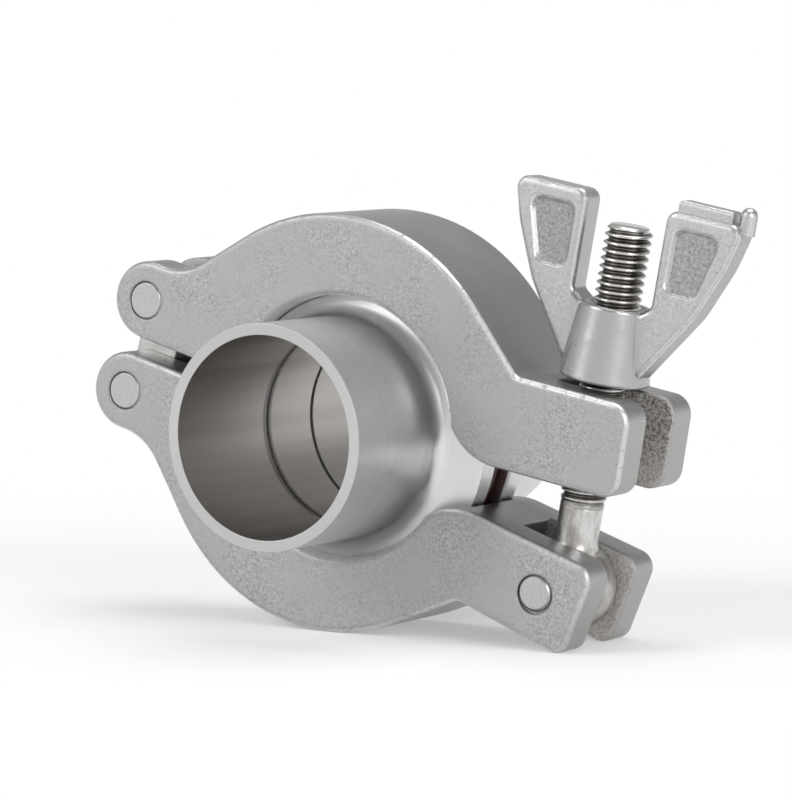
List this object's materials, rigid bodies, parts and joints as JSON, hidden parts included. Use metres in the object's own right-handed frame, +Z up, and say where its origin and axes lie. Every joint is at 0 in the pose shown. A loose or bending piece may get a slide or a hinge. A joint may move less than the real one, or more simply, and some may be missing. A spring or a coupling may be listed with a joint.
{
  "type": "hinged kf flange clamp",
  "caption": "Hinged vacuum flange clamp with swing bolt and wing nut, closed around two tube flanges with a centring ring and seal.",
  "frame": {"origin": "middle of the flow bore, halfway between the two flange faces", "axes": "+Y along the tubes, from the front tube to the rear one; +Z up as the clamp rests; the hinge is towards -X and the bolt towards +X"},
  "size_m": [0.0923, 0.0494, 0.0577],
  "materials": {
    "cast_steel": "fine shot-blasted casting with burnished edges",
    "link_steel": "satin",
    "pin_steel": "plain turned ends",
    "bolt_steel": "bright rolled thread, satin shank",
    "nut_steel": "cast, with a smoother boss",
    "tube_steel": "machined, satin",
    "seal_rubber": "matt dark red-brown"
  },
  "bodies": {
    "root": {"lower_clamp_half": "cast_steel", "lower_hinge_pin": "pin_steel", "bolt_pivot_pin": "pin_steel", "front_weld_stub": "tube_steel", "rear_weld_stub": "tube_steel", "centering_ring": "tube_steel", "o_ring": "seal_rubber"},
    "link": {"hinge_link": "link_steel"},
    "upper_half": {"upper_clamp_half": "cast_steel", "upper_hinge_pin": "pin_steel"},
    "bolt": {"swing_bolt": "bolt_steel"},
    "nut": {"wing_nut": "nut_steel"}
  },
  "joints": [
    {"name": "link_swing", "type": "hinge", "parent": "root", "child": "link", "pos_m": [-0.03273, 0, 0.00313], "axis": [0, -1, 0], "range_deg": [0, 7.01]},
    {"name": "upper_half_swing", "type": "hinge", "parent": "link", "child": "upper_half", "pos_m": [-0.02929, 0, 0.01494], "axis": [0, -1, 0], "range_deg": [0, 7.01]},
    {"name": "bolt_swing", "type": "hinge", "parent": "root", "child": "bolt", "pos_m": [0.02879, 0, -0.0188], "axis": [0, 1, 0], "range_deg": [0, 218]},
    {"name": "nut_travel", "type": "slide", "parent": "bolt", "child": "nut", "axis": [0.1882, 0, 0.9821], "range_m": [0, 0.017]}
  ],
  "couplings": [
    {"joint": "link_swing", "follows": "nut_travel", "rad_per_m": 7.186},
    {"joint": "upper_half_swing", "follows": "nut_travel", "rad_per_m": 7.186}
  ]
}
